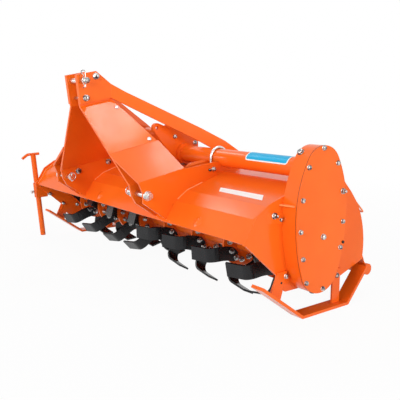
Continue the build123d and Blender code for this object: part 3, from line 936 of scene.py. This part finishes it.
# labels: a blank blue one with a white border over the drive tube, a blank white strip on the hood
labels = {
    "tubeAxis": (64, 558),
    "tubeRadius": 38 * mm,
    "tubeSpan": (583, 822),
    "tubeTurn": (13, 118),
    "tubeSteps": 36,
    "corner": 12 * mm,
    "border": 5 * mm,
    "lift": 0.35 * mm,
    "blueLift": 0.56 * mm,
    "strip": [(553, -75), (803, -73), (834, -109), (579, -105)],
    "stripSteps": 10,
    "lookFrom": 700,
}


def roundedInset(across, high, corner):  # how far a rounded corner draws in the ends, at one height
    edge = min(across, high - across)
    if edge >= corner:
        return 0.0
    return corner - math.sqrt(corner ** 2 - (corner - edge) ** 2)


def tubeFilm(name, settings, margin, lift, material):
    bm = bmesh.new()
    y, z = (value * mm for value in settings["tubeAxis"])
    radius = settings["tubeRadius"] + lift
    low, high = (math.radians(turn) * radius for turn in settings["tubeTurn"])
    left, right = (value * mm for value in settings["tubeSpan"])
    length, corner, steps = high - low - 2 * margin, settings["corner"] - margin, settings["tubeSteps"]
    rows = []
    for i in range(steps + 1):
        across = length * i / steps
        inset = margin + roundedInset(across, length, corner)
        turn = (low + margin + across) / radius
        rows.append([bm.verts.new((x, y - radius * math.cos(turn), z + radius * math.sin(turn)))
                     for x in (left + inset, right - inset)])
    for first, second in zip(rows, rows[1:]):
        bm.faces.new((first[0], first[1], second[1], second[0])).smooth = True
    finishPiece(name, bm, "frame", material)


def hoodStrip(settings):
    bm = bmesh.new()
    a, b, c, d = [spot(x, y, settings["lookFrom"]) for x, y in settings["strip"]]
    steps, rows = settings["stripSteps"], []
    for i in range(steps + 1):
        row = []
        for j in range(3):
            point = a.lerp(b, i / steps).lerp(d.lerp(c, i / steps), j / 2)
            place, normal = seat("hood", point, -alongZ)
            row.append(bm.verts.new(place + normal * settings["lift"]))
        rows.append(row)
    for first, second in zip(rows, rows[1:]):
        for j in range(2):
            bm.faces.new((first[j], first[j + 1], second[j + 1], second[j]))
    straightNormals(bm)
    if sum(face.normal.z for face in bm.faces) < 0:
        bmesh.ops.reverse_faces(bm, faces=bm.faces)
    finishPiece("hoodStrip", bm, "frame", whiteFilm)


tubeFilm("tubeLabelBorder", labels, 0.0, labels["lift"], whiteFilm)
tubeFilm("tubeLabel", labels, labels["border"], labels["blueLift"], blueFilm)
hoodStrip(labels)
print("labels done")

# two shallow round bosses pressed out of the hood's skirt
skirt = {
    "bossX": (610, -187),
    "lookFrom": (-300, 440),
    "towards": (0, 0.56, -0.83),
    "bossRadius": 22 * mm,
    "bossHeight": 5.5 * mm,
    "bossSunk": 0.5 * mm,
    "rings": 8,
}


def skirtBosses(settings):
    bm = bmesh.new()
    radius, height, rings = settings["bossRadius"], settings["bossHeight"], settings["rings"]
    profile = [(radius, -settings["bossSunk"])]
    for i in range(rings + 1):
        profile.append((radius * (1 - i / rings), height * math.sin(math.pi / 2 * i / rings) ** 2))
    for x in settings["bossX"]:
        place, normal = seat("hood", spot(x, *settings["lookFrom"]), settings["towards"])
        turned(bm, place, normal, profile, 32)
    finishPiece("skirtBosses", bm, "frame", orange)


skirtBosses(skirt)
print("skirt bosses done")

# parking stand: clamp bolt on its sleeve
stand = {
    "inFront": (-964, -500, 268),
    "boss": [(9, -1), (9, 6), (0, 6)],
    "stud": [(4.5, 0), (4.5, 13), (0, 13)],
    "headOut": 12 * mm,
    "headSize": 11 * mm,
}


def standBolt(settings):
    bm = bmesh.new()
    place, normal = seat("stand_bracket", spot(*settings["inFront"]), alongY)
    turned(bm, place, normal, inMetres(settings["boss"]), 6, smooth=False)
    turned(bm, place, normal, inMetres(settings["stud"]), 12)
    hexHead(bm, place + normal * settings["headOut"], normal, settings["headSize"])
    finishPiece("standBolt", bm, "frame", zinc)


standBolt(stand)
print("stand bolt done")

# trailing board: a bent rod handle near the right end
board = {
    "handleX": (851, 869),
    "handleRoot": (338, 400),
    "handleFoot": (356, 423),
    "handleTip": (440, 345),
    "handleRod": 3.5 * mm,
    "bendSteps": 12,
}


def boardHandle(settings):
    bm = bmesh.new()
    first, second = (x * mm for x in settings["handleX"])
    root, foot, tip = (spot(0, *settings[part]) for part in ("handleRoot", "handleFoot", "handleTip"))
    middle, half = (first + second) / 2, (second - first) / 2
    down = (tip - foot).normalized()
    line = [alongX * first + root, alongX * first + foot]
    for i in range(settings["bendSteps"] + 1):
        turn = math.pi * i / settings["bendSteps"]
        line.append(alongX * (middle - half * math.cos(turn)) + tip + down * half * (math.sin(turn) - 1))
    line += [alongX * second + foot, alongX * second + root]
    bar(bm, line, settings["handleRod"], 10)
    straightNormals(bm)
    # the rod gets the pale orange as a painted highlight
    finishPiece("boardHandle", bm, "rear_board", paintedHighlightOrange)


boardHandle(board)
print("board handle done")

# weld beads, painted over in a paler orange that paints on their highlight: on the hood along the hitch
# plates and the end plates, and round the tubes' ends
welds = {
    "radius": 2.6 * mm,
    "ripple": 0.16,
    "step": 5 * mm,
    "underHitch": [(110, 502), (-63, 459), (-126, 447), (-188, 403), (-209, 359), (-245, 325)],
    "hitchX": (413.5, 323.5, -413.5, -323.5),
    "hoodEnds": [(235, 500), (126, 509), (56, 500), (-142, 436), (-201, 397), (-252, 321)],
    "hoodEndX": (904.5, -928.5),
    "tubeAxis": (64, 558),
    "tubeEndX": (904, -928),
    "tubeRing": 39.5 * mm,
    "ringSteps": 60,
}


def laidOnHood(points, x, step):
    line = divided([spot(x, y, z) for y, z in points], step)
    places = [nodes["hood"].closest_point_on_mesh(point)[1] for point in line]
    return [Vector((x * mm, place.y, place.z)) for place in places]


def weldBeads(settings):
    bm = bmesh.new()
    radius, ripple = settings["radius"], settings["ripple"]
    for edge, places in (("underHitch", "hitchX"), ("hoodEnds", "hoodEndX")):
        for x in settings[places]:
            bar(bm, laidOnHood(settings[edge], x, settings["step"]), radius, 6, ripple=ripple)
    for x in settings["tubeEndX"]:
        middle = spot(x, *settings["tubeAxis"])
        ring = ringPoints(middle, alongY, alongZ, settings["tubeRing"], settings["ringSteps"])
        bar(bm, ring, radius, 6, closed=True, ripple=ripple)
    straightNormals(bm)
    finishPiece("weldBeads", bm, "frame", paintedHighlightOrange)


weldBeads(welds)
print("weld beads done")
